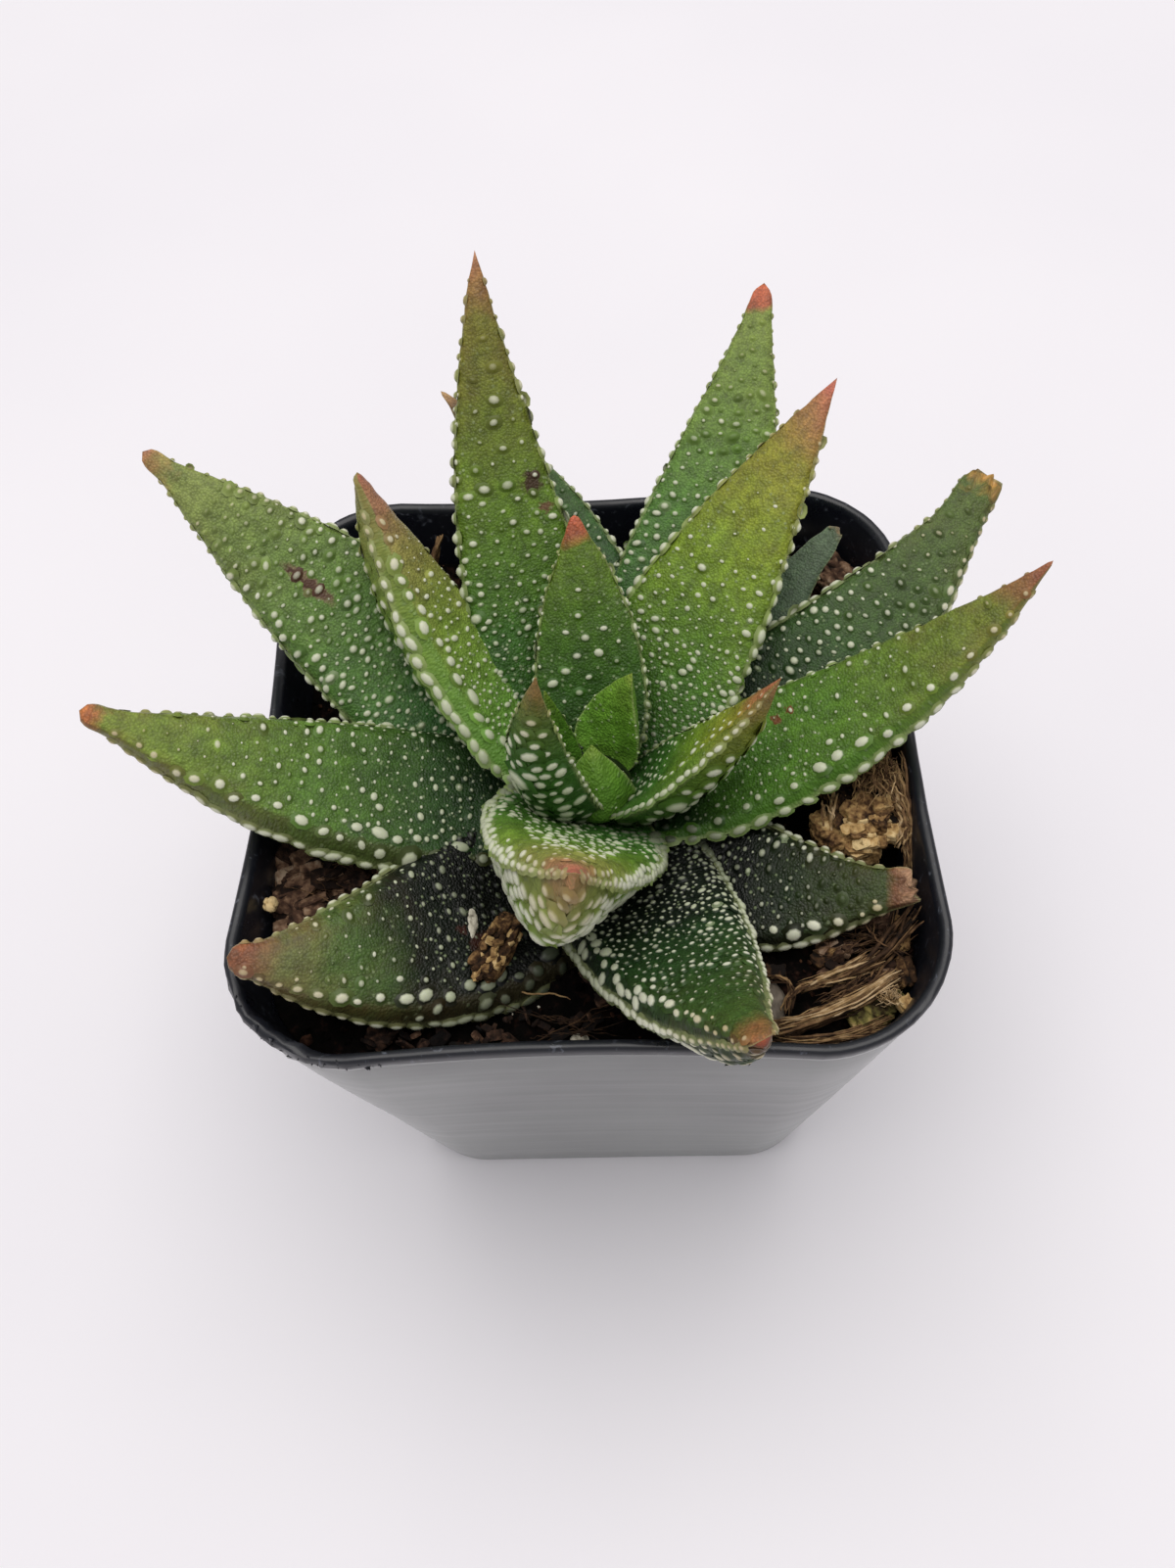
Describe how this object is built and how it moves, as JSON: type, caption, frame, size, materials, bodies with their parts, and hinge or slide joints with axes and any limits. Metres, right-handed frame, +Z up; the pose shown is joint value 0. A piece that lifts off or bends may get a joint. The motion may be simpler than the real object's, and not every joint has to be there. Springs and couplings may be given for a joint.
{
  "type": "potted haworthia concolor",
  "caption": "Succulent rosette of thick keeled leaves with white tubercles and reddish tips, growing in a square tapered black plastic nursery pot of bark soil.",
  "frame": {"origin": "middle of the pot's flat underside", "axes": "+Z up, -Y towards the side that the picture was taken from, +X to its right"},
  "size_m": [0.0838, 0.0758, 0.0841],
  "materials": {
    "pot_plastic": "thin black moulded polypropylene, glossy outside",
    "soil": "damp dark peat and bark crumbs",
    "stem": "short green stem",
    "leaf_inner": "yellow-green succulent skin with off-white tubercles and orange-red tips",
    "leaf_middle": "mid green succulent skin with off-white tubercles and reddish tips",
    "leaf_outer": "dark green succulent skin with off-white tubercles and dry brown tips",
    "bark": "crumbled bark and rotten wood",
    "dry_root": "dry fibrous root",
    "grain": "pale perlite, seed husk and grit"
  },
  "bodies": {
    "root": {"pot": "pot_plastic", "soil": "soil", "stem": "stem", "leaf_01": "leaf_inner", "leaf_02": "leaf_inner", "leaf_03": "leaf_inner", "leaf_04": "leaf_inner", "leaf_05": "leaf_inner", "leaf_06": "leaf_inner", "leaf_07": "leaf_middle", "leaf_08": "leaf_middle", "leaf_09": "leaf_middle", "leaf_10": "leaf_middle", "leaf_11": "leaf_middle", "leaf_12": "leaf_middle", "leaf_13": "leaf_middle", "leaf_14": "leaf_outer", "leaf_15": "leaf_outer", "leaf_16": "leaf_outer", "leaf_17": "leaf_outer", "leaf_18": "leaf_outer", "leaf_19": "leaf_outer", "bark_front": "bark", "bark_left": "bark", "bark_left_low": "bark", "bark_back": "bark", "bark_right": "bark", "moss_lump": "bark", "wood_chunk": "bark", "root_fibres": "dry_root", "root_left": "dry_root", "pebble": "grain", "seed_husk": "grain", "perlite_front": "grain", "perlite_left": "grain", "perlite_back": "grain"}
  },
  "joints": []
}
